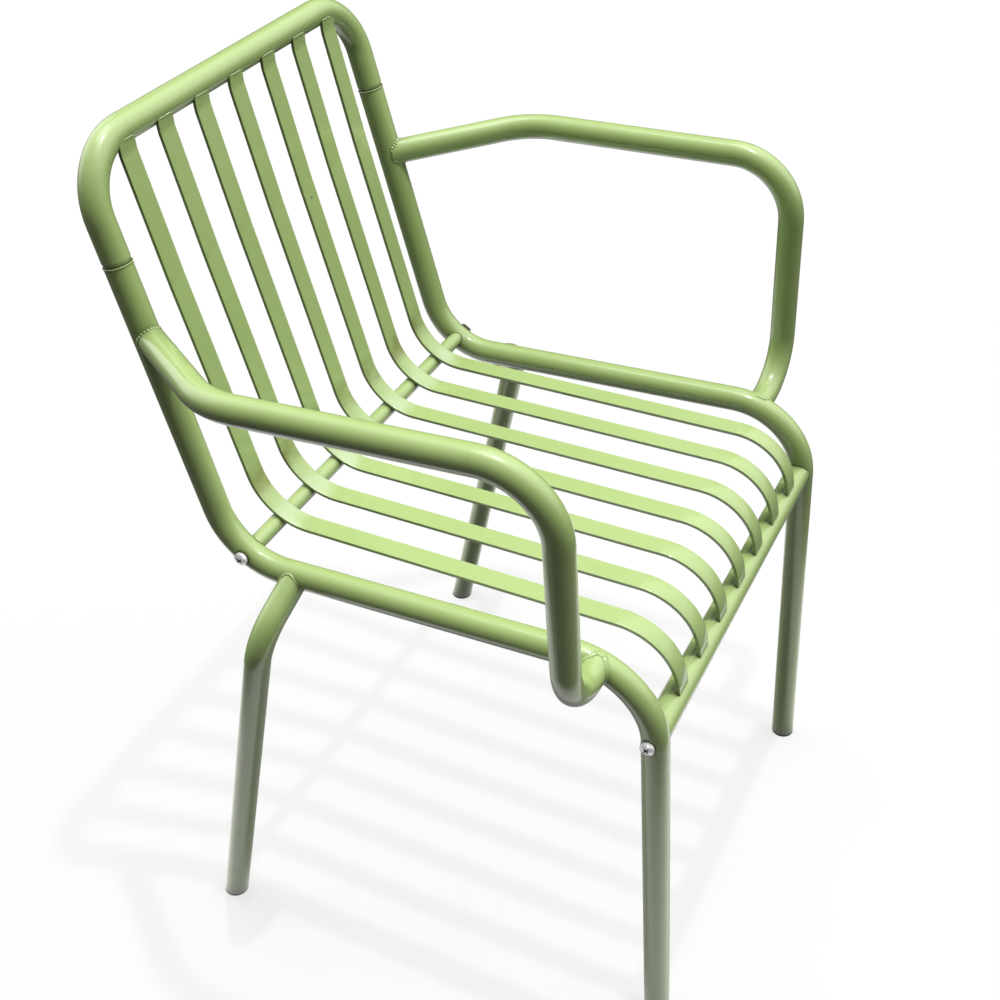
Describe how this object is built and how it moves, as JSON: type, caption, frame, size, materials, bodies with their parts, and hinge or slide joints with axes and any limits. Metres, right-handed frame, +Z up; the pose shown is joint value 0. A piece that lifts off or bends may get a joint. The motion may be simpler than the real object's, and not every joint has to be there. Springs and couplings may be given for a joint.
{
  "type": "stacking armchair",
  "caption": "Stacking armchair of bent steel tube in pale green paint, with flat bars that run down the back, along the seat and over its front edge.",
  "frame": {"origin": "on the floor, at the middle of the chair's outer box", "axes": "+Z up from the floor; -Y the way the sitter faces; X from side to side"},
  "size_m": [0.5888, 0.5381, 0.8379],
  "materials": {
    "frame_paint": "satin-gloss powder coat, sage green",
    "slat_paint": "satin-gloss powder coat, sage green",
    "screw_zinc": "bright zinc plate",
    "insert_steel": "plain steel, hidden",
    "plug_plastic": "dark moulded plastic"
  },
  "bodies": {
    "root": {"side_frame_left": "frame_paint", "side_frame_right": "frame_paint", "rear_leg_left": "frame_paint", "rear_leg_right": "frame_paint", "armrest_left": "frame_paint", "armrest_right": "frame_paint", "back_hoop": "frame_paint", "slat_1": "slat_paint", "slat_2": "slat_paint", "slat_3": "slat_paint", "slat_4": "slat_paint", "slat_5": "slat_paint", "slat_6": "slat_paint", "slat_7": "slat_paint", "front_crossbar": "frame_paint", "rear_crossbar": "frame_paint", "insert_front_left": "insert_steel", "insert_front_right": "insert_steel", "insert_rear_left": "insert_steel", "insert_rear_right": "insert_steel", "screw_front_left": "screw_zinc", "screw_front_right": "screw_zinc", "screw_rear_left": "screw_zinc", "screw_rear_right": "screw_zinc", "foot_plug_front_left": "plug_plastic", "foot_plug_front_right": "plug_plastic", "foot_plug_rear_left": "plug_plastic", "foot_plug_rear_right": "plug_plastic"}
  },
  "joints": []
}
